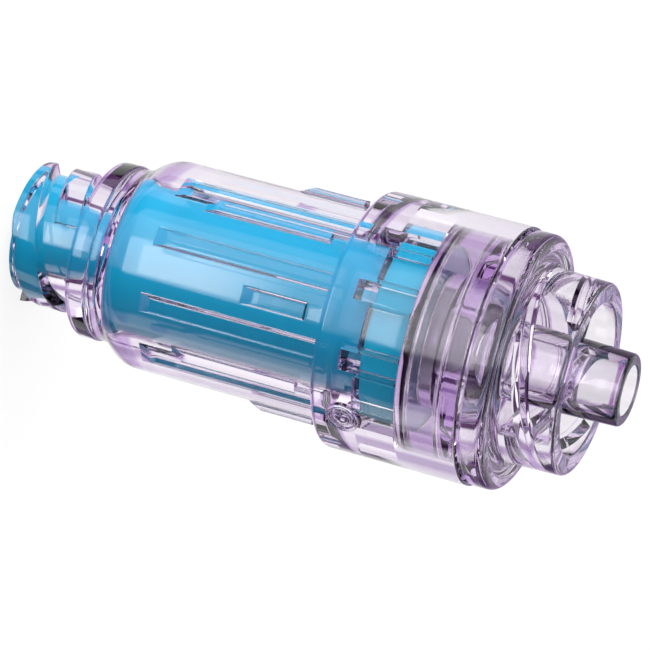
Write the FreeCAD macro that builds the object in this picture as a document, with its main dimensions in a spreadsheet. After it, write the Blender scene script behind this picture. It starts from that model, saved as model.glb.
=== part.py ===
import FreeCAD, Part
import math
import os

import Sketcher

# Needle free connector, millimetres. The axis is Z: the female luer rim stands at Z = 0
# and the male luer points up. Five pieces: a clear ribbed housing, a soft seal that fills
# its bore, a hollow spike inside the seal, a soft flow regulator and the male luer base.
# A short rib lies on +X. The housing's mould opens along Y, so the long ribs have sides
# parallel to Y.

SIZES = {
    # female luer neck
    "neck_radius": 3.35,
    "mouth_radius": 2.15,
    "luer_taper": 0.03,
    "neck_ring_radius": 4.93,
    "neck_ring_bottom": 4.06,
    "neck_ring_height": 1.24,
    "neck_ring_chamfer": 0.2,
    "waist_radius": 4.85,
    # lock thread on the neck
    "lug_radius": 3.915,
    "lug_root_width": 1.9,
    "lug_crest_width": 1.3,
    "lug_lead": 5.0,
    "lug_start": 1.1,
    "lug_end": 2.95,
    "lug_sink": 0.45,
    "lug_start_angle": -73.0,
    # barrel
    "barrel_radius": 5.815,
    "waist_height": 0.1,
    "bell_height": 2.5,
    "bell_ease": 0.95,
    "barrel_wall": 1.515,
    "bore_cone_bottom": 5.5,
    "bore_cone_height": 1.1,
    # skirt at the wide end of the housing
    "skirt_radius": 7.08,
    "skirt_bottom": 19.36,
    "skirt_top": 27.6,
    "skirt_chamfer": 0.3,
    "skirt_wall": 0.9,
    "pocket_wall": 0.55,
    "narrow_pocket_bottom": 20.7,
    "wide_pocket_bottom": 21.6,
    "pocket_top": 23.95,
    "narrow_pocket_sweep": 10.0,
    "front_pocket_sweep": 20.0,
    "side_pocket_sweep": 17.0,
    "quarter_pocket_sweep": 30.0,
    # ribs
    "rib_height": 0.385,
    "rib_width": 1.0,
    "rib_bottom": 8.96,
    "rib_ramp": 0.75,
    "rib_edge": 0.04,
    "rib_root": 2.0,
    "short_rib_bottom": 14.5,
    "short_rib_top": 18.21,
    "short_rib_count": 4,
    "near_rib_angle": 17.0,
    "far_rib_angle": 47.5,
    "side_pad_angle": 41.8,
    "side_pad_width": 0.84,
    "side_pad_bottom": 10.9,
    # round boss where the housing was injected
    "boss_radius": 0.95,
    "boss_height": 0.06,
    "boss_rim_height": 0.16,
    "boss_rim_width": 0.3,
    "boss_level": 21.36,
    "boss_angle": -47.0,
    # seal
    "seal_recess": 0.05,
    "seal_gap": 0.03,
    "seal_body_gap": 0.22,
    "seal_shoulder_gap": 0.1,
    "seal_wall": 1.1,
    "seal_core_radius": 1.4,
    "seal_core_step": 1.2,
    "seal_head_height": 1.6,
    "seal_flange_gap": 0.05,
    "slit_length": 2.4,
    "slit_width": 0.1,
    # spike and its disc
    "disc_height": 0.5,
    "disc_gap": 0.05,
    "spike_gap": 0.2,
    "spike_radius": 1.05,
    "spike_point_radius": 0.35,
    "spike_point_height": 1.2,
    "spike_lumen": 0.45,
    "spike_lumen_end": 0.5,
    "spike_slot_width": 0.45,
    "spike_slot_height": 2.2,
    "spout_radius": 0.8,
    "spout_height": 0.7,
    # flow regulator
    "regulator_flange_radius": 2.7,
    "regulator_flange_height": 0.7,
    "regulator_bulb_radius": 1.55,
    "regulator_bulb_height": 1.3,
    "regulator_wall": 0.45,
    "regulator_dome_height": 0.5,
    "regulator_dome_radius": 0.7,
    "regulator_slit_width": 0.1,
    "regulator_gap": 0.05,
    # male luer base
    "spigot_gap": 0.05,
    "spigot_wall": 1.1,
    "floor_level": 27.16,
    "floor_height": 1.06,
    "hub_wall": 0.9,
    "base_ring_step": 0.1,
    "base_ring_top": 29.1,
    "base_ring_chamfer": 0.35,
    "seam_depth": 0.2,
    "seam_height": 0.16,
    "dish_rim_width": 0.78,
    "dish_depth": 0.7,
    "collar_radius": 5.25,
    "collar_top": 32.4,
    "collar_chamfer": 0.18,
    "collar_wall": 1.2,
    "tip_top": 34.66,
    "tip_radius": 1.985,
    "tip_chamfer": 0.2,
    "lumen_radius": 1.374,
    "bulb_room": 0.2,
    "lumen_cone_height": 0.5,
}
FULL_TURN = 360.0
SHEET = "Sizes"
# Indices that a sketch constraint gives to the points of a line or circle
START_INDEX = 1
CENTRE_INDEX = 3
# How near two circles must lie to count as one
MATCH_LIMIT = 1e-4


class Length:
    """A size with its value and the spreadsheet expression it comes from."""

    def __init__(self, value, text):
        self.value = value
        self.text = text

    def joined(self, other, sign, value):
        other = as_length(other)
        return Length(value, "(" + self.text + " " + sign + " " + other.text + ")")

    def __add__(self, other):
        return self.joined(other, "+", self.value + as_length(other).value)

    def __sub__(self, other):
        return self.joined(other, "-", self.value - as_length(other).value)

    def __mul__(self, other):
        return self.joined(other, "*", self.value * as_length(other).value)

    def __truediv__(self, other):
        return self.joined(other, "/", self.value / as_length(other).value)

    def __neg__(self):
        return Length(-self.value, "(0 - " + self.text + ")")


def as_length(number):
    if isinstance(number, Length):
        return number
    return Length(float(number), repr(float(number)))


def size(alias):
    return Length(SIZES[alias], SHEET + "." + alias)


def make_sheet(doc):
    sheet = doc.addObject("Spreadsheet::Sheet", SHEET)
    for row, (alias, value) in enumerate(SIZES.items(), start=1):
        sheet.set("A%d" % row, alias)
        sheet.set("B%d" % row, str(value))
        sheet.setAlias("B%d" % row, alias)
    doc.recompute()


def bind(feature, prop, length):
    feature.setExpression(prop, as_length(length).text)


def origin_object(body, role):
    for item in body.Origin.OriginFeatures:
        if item.Role == role:
            return item
    raise ValueError("no " + role + " in " + body.Label)


def make_body(doc, label):
    body = doc.addObject("PartDesign::Body", label)
    body.Label = label
    return body


def sine(angle):
    """The sine of an angle in degrees."""
    return Length(math.sin(math.radians(angle.value)), "sin(" + angle.text + " * 1 deg)")


def turned_plane(body, name, angle):
    """A sketch on the XZ plane, turned about Z by an angle in degrees."""
    sketch = body.newObject("Sketcher::SketchObject", name)
    sketch.AttachmentSupport = [(origin_object(body, "XZ_Plane"), "")]
    sketch.MapMode = "FlatFace"
    if angle is not None:
        turn = as_length(angle)
        spin = FreeCAD.Rotation(FreeCAD.Vector(0, 1, 0), turn.value)
        sketch.AttachmentOffset = FreeCAD.Placement(FreeCAD.Vector(), spin)
        bind(sketch, "AttachmentOffset.Rotation.Angle", turn)
    return sketch


def draw_outline(sketch, corners):
    """A closed outline of straight lines, every corner tied to its two sizes."""
    points = [(as_length(across), as_length(up)) for across, up in corners]
    count = len(points)
    for index in range(count):
        start = points[index]
        end = points[(index + 1) % count]
        sketch.addGeometry(
            Part.LineSegment(
                FreeCAD.Vector(start[0].value, start[1].value, 0),
                FreeCAD.Vector(end[0].value, end[1].value, 0),
            ),
            False,
        )
    for index in range(count):
        sketch.addConstraint(Sketcher.Constraint("Coincident", index, 2, (index + 1) % count, 1))
    for index, (across, up) in enumerate(points):
        tie_point(sketch, index, across, "DistanceX", -2)
        tie_point(sketch, index, up, "DistanceY", -1)


def draw_circle(sketch, radius, up):
    """A circle centred on the sketch's upright axis."""
    centre = FreeCAD.Vector(0, up.value, 0)
    index = sketch.addGeometry(Part.Circle(centre, FreeCAD.Vector(0, 0, 1), radius.value), False)
    rule = sketch.addConstraint(Sketcher.Constraint("Radius", index, radius.value))
    bind(sketch, "Constraints[%d]" % rule, radius)
    sketch.addConstraint(Sketcher.Constraint("PointOnObject", index, CENTRE_INDEX, -2))
    tie_point(sketch, index, up, "DistanceY", -1, CENTRE_INDEX)


def tie_point(sketch, index, length, kind, axis, end=START_INDEX):
    if length.text == "0.0":
        sketch.addConstraint(Sketcher.Constraint("PointOnObject", index, end, axis))
        return
    rule = sketch.addConstraint(Sketcher.Constraint(kind, -1, 1, index, end, length.value))
    bind(sketch, "Constraints[%d]" % rule, length)


def revolve(body, name, corners):
    sketch = turned_plane(body, name + "_outline", None)
    draw_outline(sketch, corners)
    feature = body.newObject("PartDesign::Revolution", name)
    feature.Profile = sketch
    feature.ReferenceAxis = (sketch, ["V_Axis"])
    feature.Angle = FULL_TURN
    return feature


def groove(body, name, corners, angle=None, sweep=FULL_TURN):
    """A turned cut, over a full turn or over a sector centred on the angle."""
    sketch = turned_plane(body, name + "_outline", angle)
    draw_outline(sketch, corners)
    feature = body.newObject("PartDesign::Groove", name)
    feature.Profile = sketch
    feature.ReferenceAxis = (sketch, ["V_Axis"])
    feature.Angle = as_length(sweep).value
    if isinstance(sweep, Length):
        bind(feature, "Angle", sweep)
    feature.Midplane = True
    return feature


def pad_rib(body, name, corners, width):
    sketch = turned_plane(body, name + "_outline", None)
    draw_outline(sketch, corners)
    feature = body.newObject("PartDesign::Pad", name)
    feature.Profile = sketch
    feature.SideType = "Symmetric"
    bind(feature, "Length", width)
    return feature


def slab(body, name, corners, width, offset):
    """A pad with its sides parallel to Y, centred at an offset along X."""
    sketch = body.newObject("Sketcher::SketchObject", name + "_outline")
    sketch.AttachmentSupport = [(origin_object(body, "YZ_Plane"), "")]
    sketch.MapMode = "FlatFace"
    sketch.AttachmentOffset = FreeCAD.Placement(FreeCAD.Vector(0, 0, offset.value), FreeCAD.Rotation())
    bind(sketch, "AttachmentOffset.Base.z", offset)
    draw_outline(sketch, corners)
    feature = body.newObject("PartDesign::Pad", name)
    feature.Profile = sketch
    feature.SideType = "Symmetric"
    bind(feature, "Length", width)
    return feature


def pocket_slot(body, name, corners, width, angle=None):
    sketch = turned_plane(body, name + "_outline", angle)
    draw_outline(sketch, corners)
    feature = body.newObject("PartDesign::Pocket", name)
    feature.Profile = sketch
    feature.SideType = "Symmetric"
    bind(feature, "Length", width)
    return feature


def polar(body, name, originals, count):
    feature = body.newObject("PartDesign::PolarPattern", name)
    feature.Originals = originals
    feature.Axis = (origin_object(body, "Z_Axis"), [""])
    feature.Angle = FULL_TURN
    feature.Occurrences = int(as_length(count).value)
    if isinstance(count, Length):
        bind(feature, "Occurrences", count)
    body.Tip = feature
    return feature


def circle_edges(shape, circles):
    """The names of the full circles that lie at the given radii and levels."""
    names = []
    for across, up in circles:
        found = [
            "Edge%d" % index
            for index, edge in enumerate(shape.Edges, start=1)
            if is_circle_at(edge, as_length(across).value, as_length(up).value)
        ]
        if not found:
            raise ValueError("no circle of radius %s at %s" % (across.text, up.text))
        names.extend(found)
    return names


def is_circle_at(edge, radius, level):
    if not isinstance(edge.Curve, Part.Circle):
        return False
    centre = edge.Curve.Center
    off_axis = math.hypot(centre.x, centre.y)
    misfit = max(off_axis, abs(centre.z - level), abs(edge.Curve.Radius - radius))
    return misfit < MATCH_LIMIT


def rounded(body, name, radius, circles):
    body.Document.recompute()
    base = body.Tip
    feature = body.newObject("PartDesign::Fillet", name)
    feature.Base = (base, circle_edges(base.Shape, circles))
    bind(feature, "Radius", radius)
    return feature


def chamfered(body, name, width, circles):
    body.Document.recompute()
    base = body.Tip
    feature = body.newObject("PartDesign::Chamfer", name)
    feature.Base = (base, circle_edges(base.Shape, circles))
    bind(feature, "Size", width)
    return feature


def helix_ridge(body, name, corners, lead, rise, angle):
    sketch = turned_plane(body, name + "_outline", angle)
    draw_outline(sketch, corners)
    feature = body.newObject("PartDesign::AdditiveHelix", name)
    feature.Profile = sketch
    feature.ReferenceAxis = (sketch, ["V_Axis"])
    feature.Mode = "pitch-height-angle"
    bind(feature, "Pitch", lead)
    bind(feature, "Height", rise)
    feature.LeftHanded = False
    return feature


def neck_bore_radius(level):
    """The female luer bore narrows away from its mouth."""
    return size("mouth_radius") - size("luer_taper") * level


# Levels and radii that more than one piece uses
neck_ring_top = size("neck_ring_bottom") + size("neck_ring_height")
bell_bottom = neck_ring_top + size("waist_height")
bell_top = bell_bottom + size("bell_height")
barrel_bore = size("barrel_radius") - size("barrel_wall")
rib_radius = size("barrel_radius") + size("rib_height")
bore_cone_top = size("bore_cone_bottom") + size("bore_cone_height")
bore_cone_radius = neck_bore_radius(size("bore_cone_bottom"))
skirt_bore = size("skirt_radius") - size("skirt_wall")
pocket_core = skirt_bore - size("pocket_wall")
base_ring_radius = size("skirt_radius") - size("base_ring_step")
collar_bore = size("collar_radius") - size("collar_wall")
disc_top = size("pocket_top") + size("disc_height")
seal_top = size("seal_recess") + size("seal_head_height")
regulator_top = disc_top + size("regulator_flange_height") + size("regulator_bulb_height")


def housing_outside(body):
    """The turned outside of the housing, still solid. Its bell has a broad round shoulder."""
    flare = size("barrel_radius") - size("waist_radius")
    height = size("bell_height")
    tangent = (height * height + flare * flare) / (height * 4)
    bell_round = (height * height + flare * flare) / (flare * 4) * size("bell_ease")
    foot = bell_bottom + tangent
    shoulder = bell_top - tangent
    revolve(body, "shell", [
        (0, 0),
        (size("neck_radius"), 0),
        (size("neck_radius"), size("neck_ring_bottom")),
        (size("neck_ring_radius"), size("neck_ring_bottom")),
        (size("neck_ring_radius"), neck_ring_top),
        (size("waist_radius"), neck_ring_top),
        (size("waist_radius"), foot),
        (size("barrel_radius"), shoulder),
        (size("barrel_radius"), size("skirt_bottom")),
        (size("skirt_radius"), size("skirt_bottom")),
        (size("skirt_radius"), size("skirt_top")),
        (0, size("skirt_top")),
    ])
    rounded(body, "bell_round", bell_round, [(size("barrel_radius"), shoulder)])
    chamfered(body, "neck_ring_chamfer", size("neck_ring_chamfer"), [
        (size("neck_ring_radius"), size("neck_ring_bottom")),
    ])
    chamfered(body, "skirt_chamfer", size("skirt_chamfer"), [
        (size("skirt_radius"), size("skirt_bottom")),
    ])


def housing_lugs(body):
    """Two lock threads that rise from the rim to the neck ring."""
    half_root = size("lug_root_width") / 2
    half_crest = size("lug_crest_width") / 2
    inside = size("neck_radius") - size("lug_sink")
    middle = size("lug_start")
    lug = helix_ridge(
        body,
        "lug",
        [
            (inside, middle - half_root),
            (size("neck_radius"), middle - half_root),
            (size("lug_radius"), middle - half_crest),
            (size("lug_radius"), middle + half_crest),
            (size("neck_radius"), middle + half_root),
            (inside, middle + half_root),
        ],
        size("lug_lead"),
        size("lug_end") - size("lug_start"),
        size("lug_start_angle"),
    )
    polar(body, "lugs", [lug], 2)


def short_rib_outline():
    """A short rib's side view, from well inside the wall, with a ramp at its lower end."""
    bottom = size("short_rib_bottom")
    return [
        (barrel_bore, bottom),
        (size("barrel_radius"), bottom),
        (rib_radius, bottom + size("rib_ramp")),
        (rib_radius, size("short_rib_top")),
        (barrel_bore, size("short_rib_top")),
    ]


def upright(bottom, top):
    """A slab's side view, from inside the barrel to beyond the ribs."""
    return [
        (size("rib_root"), bottom),
        (rib_radius, bottom),
        (rib_radius, top),
        (size("rib_root"), top),
    ]


def housing_ribs(body):
    """Eight long ribs, four of them with a side pad, trimmed to one radius, and four short ribs."""
    long_outline = upright(size("rib_bottom"), size("skirt_bottom"))
    pad_outline = upright(size("side_pad_bottom"), size("short_rib_top"))
    near = rib_radius * sine(size("near_rib_angle"))
    far = rib_radius * sine(size("far_rib_angle"))
    beside = rib_radius * sine(size("side_pad_angle"))
    slabs = []
    for side, sign in (("", 1), ("_other", -1)):
        slabs.append(slab(body, "near_rib" + side, long_outline, size("rib_width"), near * sign))
        slabs.append(slab(body, "far_rib" + side, long_outline, size("rib_width"), far * sign))
        slabs.append(slab(body, "side_pad" + side, pad_outline, size("side_pad_width"), beside * sign))
    polar(body, "long_ribs", slabs, 2)
    reach = rib_radius * 2
    foot = size("barrel_radius") + size("rib_edge")
    groove(body, "rib_trim", [
        (foot, size("rib_bottom") - size("rib_ramp")),
        (reach, size("rib_bottom") - size("rib_ramp")),
        (reach, size("skirt_bottom")),
        (rib_radius, size("skirt_bottom")),
        (rib_radius, size("rib_bottom") + size("rib_ramp")),
        (foot, size("rib_bottom")),
    ])
    short_rib = pad_rib(body, "short_rib", short_rib_outline(), size("rib_width"))
    polar(body, "short_ribs", [short_rib], size("short_rib_count"))


def round_pad(body, name, radius, height, hole=None):
    """A round pad on the skirt where the boss is, with a hole if one is given."""
    sketch = turned_plane(body, name + "_outline", size("boss_angle") + FULL_TURN / 4)
    draw_circle(sketch, radius, size("boss_level"))
    if hole is not None:
        draw_circle(sketch, hole, size("boss_level"))
    feature = body.newObject("PartDesign::Pad", name)
    feature.Profile = sketch
    bind(feature, "Length", size("skirt_radius") + height)
    return feature


def housing_boss(body):
    """A flat round boss with a raised rim."""
    rim_hole = size("boss_radius") - size("boss_rim_width")
    round_pad(body, "boss", size("boss_radius"), size("boss_height"))
    round_pad(body, "boss_rim", size("boss_radius"), size("boss_rim_height"), rim_hole)


def housing_bore(body):
    """The luer bore, the barrel bore and the stepped bore of the skirt."""
    groove(body, "bore", [
        (0, 0),
        (size("mouth_radius"), 0),
        (bore_cone_radius, size("bore_cone_bottom")),
        (barrel_bore, bore_cone_top),
        (barrel_bore, size("wide_pocket_bottom")),
        (pocket_core, size("wide_pocket_bottom")),
        (pocket_core, size("pocket_top")),
        (skirt_bore, size("pocket_top")),
        (skirt_bore, size("skirt_top")),
        (0, size("skirt_top")),
    ])


def pocket_section(bottom):
    inside = barrel_bore
    return [
        (inside, bottom),
        (skirt_bore, bottom),
        (skirt_bore, size("pocket_top")),
        (inside, size("pocket_top")),
    ]


def housing_pockets(body):
    """Pockets round the seal flange: deep narrow ones in line with the long ribs, wide ones between."""
    narrow = pocket_section(size("narrow_pocket_bottom"))
    wide = pocket_section(size("wide_pocket_bottom"))
    near = size("near_rib_angle")
    far = size("far_rib_angle")
    front = as_length(FULL_TURN / 4)
    middle = (near + far) / 2
    cuts = [groove(body, "front_pocket", wide, front, size("front_pocket_sweep"))]
    for side, sign in (("", 1), ("_other", -1)):
        cuts.append(groove(body, "near_pocket" + side, narrow, front + near * sign, size("narrow_pocket_sweep")))
        cuts.append(groove(body, "side_pocket" + side, wide, front + middle * sign, size("side_pocket_sweep")))
        cuts.append(groove(body, "far_pocket" + side, narrow, front + far * sign, size("narrow_pocket_sweep")))
    cuts.append(groove(body, "quarter_pocket", wide, None, size("quarter_pocket_sweep")))
    polar(body, "pockets", cuts, 2)


def make_housing(doc):
    body = make_body(doc, "housing")
    housing_outside(body)
    housing_lugs(body)
    housing_ribs(body)
    housing_boss(body)
    housing_bore(body)
    housing_pockets(body)
    return body


def make_seal(doc):
    """The soft seal: a slit head in the luer bore, a wide hollow body and a base flange."""
    body = make_body(doc, "seal")
    gap = size("seal_gap")
    body_radius = barrel_bore - size("seal_body_gap")
    shoulder = bore_cone_top + size("seal_shoulder_gap")
    flange_bottom = size("wide_pocket_bottom") + size("seal_flange_gap")
    flange_top = size("pocket_top") - size("disc_gap")
    flange_radius = pocket_core - size("seal_flange_gap")
    core_wide = body_radius - size("seal_wall")
    revolve(body, "seal_section", [
        (0, size("seal_recess")),
        (neck_bore_radius(size("seal_recess")) - gap, size("seal_recess")),
        (bore_cone_radius - gap, size("bore_cone_bottom") + size("seal_shoulder_gap")),
        (body_radius, shoulder),
        (body_radius, flange_bottom),
        (flange_radius, flange_bottom),
        (flange_radius, flange_top),
        (core_wide, flange_top),
        (core_wide, shoulder + size("seal_core_step")),
        (size("seal_core_radius"), shoulder),
        (size("seal_core_radius"), seal_top),
        (0, seal_top),
    ])
    half = size("slit_length") / 2
    pocket_slot(
        body,
        "slit",
        [
            (-half, 0),
            (half, 0),
            (half, seal_top + size("seal_recess")),
            (-half, seal_top + size("seal_recess")),
        ],
        size("slit_width"),
    )
    return body


def make_spike(doc):
    """The hollow spike on its disc, with side slots near its blunt point."""
    body = make_body(doc, "spike_support")
    tip = seal_top + size("spike_gap")
    lumen_end = tip + size("spike_lumen_end")
    disc_radius = skirt_bore - size("disc_gap")
    revolve(body, "spike_section", [
        (0, tip),
        (size("spike_point_radius"), tip),
        (size("spike_radius"), tip + size("spike_point_height")),
        (size("spike_radius"), size("pocket_top")),
        (disc_radius, size("pocket_top")),
        (disc_radius, disc_top),
        (size("spout_radius"), disc_top),
        (size("spout_radius"), disc_top + size("spout_height")),
        (size("spike_lumen"), disc_top + size("spout_height")),
        (size("spike_lumen"), lumen_end),
        (0, lumen_end),
    ])
    slot_bottom = tip + size("spike_point_height")
    reach = size("spike_radius") * 2
    pocket_slot(
        body,
        "side_slots",
        [
            (-reach, slot_bottom),
            (reach, slot_bottom),
            (reach, slot_bottom + size("spike_slot_height")),
            (-reach, slot_bottom + size("spike_slot_height")),
        ],
        size("spike_slot_width"),
    )
    return body


def make_regulator(doc):
    """The soft two-way valve: a flange, a thin bulb and a slit in its end."""
    body = make_body(doc, "flow_regulator")
    flange_top = disc_top + size("regulator_flange_height")
    bulb = size("regulator_bulb_radius")
    wall = size("regulator_wall")
    dome_bottom = regulator_top - size("regulator_dome_height")
    revolve(body, "regulator_section", [
        (bulb - wall, disc_top),
        (size("regulator_flange_radius"), disc_top),
        (size("regulator_flange_radius"), flange_top),
        (bulb, flange_top),
        (bulb, dome_bottom),
        (size("regulator_dome_radius"), regulator_top),
        (0, regulator_top),
        (0, regulator_top - wall),
        (bulb - wall, dome_bottom - wall / 2),
    ])
    half = size("regulator_dome_radius")
    pocket_slot(
        body,
        "regulator_slit",
        [
            (-half, regulator_top - wall * 2),
            (half, regulator_top - wall * 2),
            (half, regulator_top + wall),
            (-half, regulator_top + wall),
        ],
        size("regulator_slit_width"),
        as_length(FULL_TURN / 4),
    )
    return body


def base_section():
    """Half the section of the male luer base, from its weld spigot to the luer tip."""
    spigot = skirt_bore - size("spigot_gap")
    floor_bottom = size("floor_level") - size("floor_height")
    flange_seat = size("regulator_flange_radius") + size("regulator_gap")
    seat_top = disc_top + size("regulator_flange_height")
    bulb_bore = size("regulator_bulb_radius") + size("bulb_room")
    bulb_top = regulator_top + size("bulb_room") / 2
    tip_root = size("tip_radius") + size("luer_taper") * (size("tip_top") - size("floor_level"))
    seam_top = size("skirt_top") + size("seam_height")
    return [
        (flange_seat, disc_top),
        (flange_seat + size("hub_wall"), disc_top),
        (flange_seat + size("hub_wall"), floor_bottom),
        (spigot - size("spigot_wall"), floor_bottom),
        (spigot - size("spigot_wall"), disc_top),
        (spigot, disc_top),
        (spigot, size("skirt_top")),
        (base_ring_radius - size("seam_depth"), size("skirt_top")),
        (base_ring_radius - size("seam_depth"), seam_top),
        (base_ring_radius, seam_top),
        (base_ring_radius, size("base_ring_top")),
        (base_ring_radius - size("dish_rim_width"), size("base_ring_top")),
        (size("collar_radius"), size("base_ring_top") - size("dish_depth")),
        (size("collar_radius"), size("collar_top")),
        (collar_bore, size("collar_top")),
        (collar_bore, size("floor_level")),
        (tip_root, size("floor_level")),
        (size("tip_radius"), size("tip_top")),
        (size("lumen_radius"), size("tip_top")),
        (size("lumen_radius"), bulb_top + size("lumen_cone_height")),
        (bulb_bore, bulb_top),
        (bulb_bore, seat_top),
        (flange_seat, seat_top),
    ]


def make_base(doc):
    body = make_body(doc, "luer_base")
    revolve(body, "base_section", base_section())
    chamfered(body, "base_ring_chamfer", size("base_ring_chamfer"), [
        (base_ring_radius, size("base_ring_top")),
    ])
    chamfered(body, "collar_chamfer", size("collar_chamfer"), [
        (size("collar_radius"), size("collar_top")),
    ])
    chamfered(body, "tip_chamfer", size("tip_chamfer"), [
        (size("tip_radius"), size("tip_top")),
    ])
    return body


def check_objects(doc):
    for item in doc.Objects:
        if "Invalid" in item.State or "Error" in item.State:
            raise RuntimeError("failed object: " + item.Label)


def write_nodes(bodies):
    os.makedirs("parts", exist_ok=True)
    for body in bodies:
        shape = body.Shape
        if shape.isNull() or not shape.isValid() or len(shape.Solids) != 1:
            raise RuntimeError("bad shape: " + body.Label)
        shape.exportStep("parts/" + body.Label + ".step")
        box = shape.BoundBox
        print(body.Label, round(shape.Volume, 3), round(box.ZMin, 3), round(box.ZMax, 3))


def main():
    doc = FreeCAD.newDocument("needle_free_connector")
    make_sheet(doc)
    makers = [make_housing, make_seal, make_spike, make_regulator, make_base]
    bodies = [maker(doc) for maker in makers]
    doc.recompute()
    check_objects(doc)
    write_nodes(bodies)


main()
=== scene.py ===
import math

import bmesh
import bpy
from mathutils import Matrix, Vector


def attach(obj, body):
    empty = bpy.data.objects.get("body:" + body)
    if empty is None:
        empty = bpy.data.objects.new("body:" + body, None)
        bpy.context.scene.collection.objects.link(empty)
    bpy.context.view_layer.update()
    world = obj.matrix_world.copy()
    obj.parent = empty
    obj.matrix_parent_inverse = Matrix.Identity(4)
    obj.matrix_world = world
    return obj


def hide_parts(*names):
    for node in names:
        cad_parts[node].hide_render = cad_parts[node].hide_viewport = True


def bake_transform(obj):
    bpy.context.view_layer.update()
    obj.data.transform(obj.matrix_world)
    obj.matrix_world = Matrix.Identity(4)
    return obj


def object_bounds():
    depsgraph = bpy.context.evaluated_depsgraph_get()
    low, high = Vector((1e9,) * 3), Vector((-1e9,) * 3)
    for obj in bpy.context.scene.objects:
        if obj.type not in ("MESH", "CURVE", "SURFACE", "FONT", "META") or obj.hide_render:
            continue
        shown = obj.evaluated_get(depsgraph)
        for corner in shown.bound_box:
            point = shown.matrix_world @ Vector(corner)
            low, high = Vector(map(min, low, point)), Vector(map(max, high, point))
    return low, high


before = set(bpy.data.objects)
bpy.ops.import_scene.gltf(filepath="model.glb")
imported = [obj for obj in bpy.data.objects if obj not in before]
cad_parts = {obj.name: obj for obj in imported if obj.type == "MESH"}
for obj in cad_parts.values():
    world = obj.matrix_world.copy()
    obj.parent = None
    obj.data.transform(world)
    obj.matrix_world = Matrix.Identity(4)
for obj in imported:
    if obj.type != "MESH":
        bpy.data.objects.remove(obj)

# A needle free connector: clear ribbed housing, blue soft seal, hollow spike, flow
# regulator and male luer base. Meshes are worked out in millimetres and then scaled
# to metres. The axis is Z and the female luer rim stands on the floor.

bl_info = {
    "name": "Needle Free Connector",
    "version": (1, 0, 0),
    "blender": (4, 5, 0),
    "location": "3D View > Sidebar > Connector",
    "description": "Models a clear luer connector with its soft blue seal",
    "category": "Object",
}

CAD_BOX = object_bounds()
MM = 0.001
FULL_TURN = 2 * math.pi

# Segments round a full turn, and round the corners of an outline
TURN_STEPS = 192
FINE_TURN_STEPS = 96
ARC_STEPS = 5
SHARP_ANGLE = math.radians(32)
MERGE_LIMIT = 1e-4
SHELL_MATERIAL = "polished_clear_shell"

# Levels along the axis, in millimetres
RIM_TRIM = -1.4
NECK_RING_BOTTOM = 4.06
NECK_RING_TOP = 5.3
BELL_BOTTOM = 5.4
BELL_TOP = 7.9
BORE_CONE_BOTTOM = 5.5
BORE_CONE_TOP = 6.6
SKIRT_BOTTOM = 19.36
SKIRT_TOP = 27.6
NARROW_POCKET_BOTTOM = 20.7
WIDE_POCKET_BOTTOM = 21.6
POCKET_TOP = 23.95
DISC_TOP = 24.45
LUER_FLOOR = 27.16
COLLAR_TOP = 32.4
BASE_RING_TOP = 29.1
TIP_TOP = CAD_BOX[1][2] / MM

LUER_TAPER = 0.03
THREAD_LEAD = 5.0
# Radius between the neck ring and the bell, and the share of its full radius that each
# arc of the bell keeps, so that the two arcs don't touch
WAIST_RADIUS = 4.82
BELL_FIT = 0.99
# How far the ring between the seal's flange and the pockets stands in from the skirt's bore
POCKET_INSET = 0.55

# The lock lugs: levels of a lug's two ends, the angle that a lug has at a level, half its
# width at root and crest, the rounding of its crest and how far it is sunk into the neck
LUG_START = -0.4
LUG_END = 3.15
LUG_ANGLE = -4
LUG_ANGLE_LEVEL = 2.06
LUG_HALF_ROOT = 0.95
LUG_HALF_CREST = 0.68
LUG_SOFT = 0.12
LUG_SINK = 0.4

# Angles of the long ribs from the Y axis. The pockets of the skirt follow them.
NEAR_RIB_ANGLE = 17.0
FAR_RIB_ANGLE = 47.5
RIB_BOTTOM = 8.96
SHORT_RIB_BOTTOM = 14.5
SHORT_RIB_TOP = 18.21
# A rib's section: slant of its sides, rounding of root and crest edge, width of the skirt
# beside it, its depth in the barrel, the depth of its foot and the steps over its crest
RIB_DRAFT = 0.12
RIB_ROOT = 0.1
RIB_EDGE = 0.1
RIB_FLARE = 0.34
RIB_SINK = 0.012
RIB_FOOT_DEPTH = 0.5
RIB_CREST_STEPS = 4
# A rib's lower end: length of the ramp, then where its flatter upper part starts, in
# shares of that length and of the rib's height, and how long that part is
RIB_RAMP = 0.75
RAMP_BREAK = (0.55, 0.62)
RAMP_BREAK_LENGTH = 1.2
# Where a rib's long faces are divided: ramp lengths from its bottom, millimetres from its top
RIB_LOOP_LOW = 1.5
RIB_LOOP_HIGH = 0.15
# The pads that widen the far ribs
SIDE_PAD_BOTTOM = 10.9
SIDE_PAD_EDGES = (3.71, 4.55)
SIDE_PAD_RISE = 0.03
SIDE_PAD_SOFT = 0.12

# The moulding boss: its place, the height of rim and middle, of its groove, and its depth
BOSS_LEVEL = 21.36
BOSS_ANGLE = -47
BOSS_HEIGHT = 0.16
BOSS_GROOVE = 0.07
BOSS_SINK = 0.4

# The seal: level of its face, of the roof over its hollow and radius of the hollow's neck,
# how far its bead presses on the bore and how far the rest stands clear of it
SEAL_FACE = 0.05
SEAL_ROOF = 1.65
SEAL_HOLLOW = 1.4
SEAL_PRESS = 0.02
SEAL_CLEAR = 0.05
SLIT_WIDTH = 0.08

SPIKE_TIP = 1.85
SPIKE_CONE = 1.2
SPIKE_RADIUS = 1.05
SPIKE_BORE = 0.45
SPIKE_SLOT = 2.2
SPOUT_RADIUS = 0.8
SPOUT_HEIGHT = 0.7

REGULATOR_HEIGHT = 2.0
REGULATOR_FLANGE = 2.7
REGULATOR_RADIUS = 1.55
REGULATOR_BORE = 1.1

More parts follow.
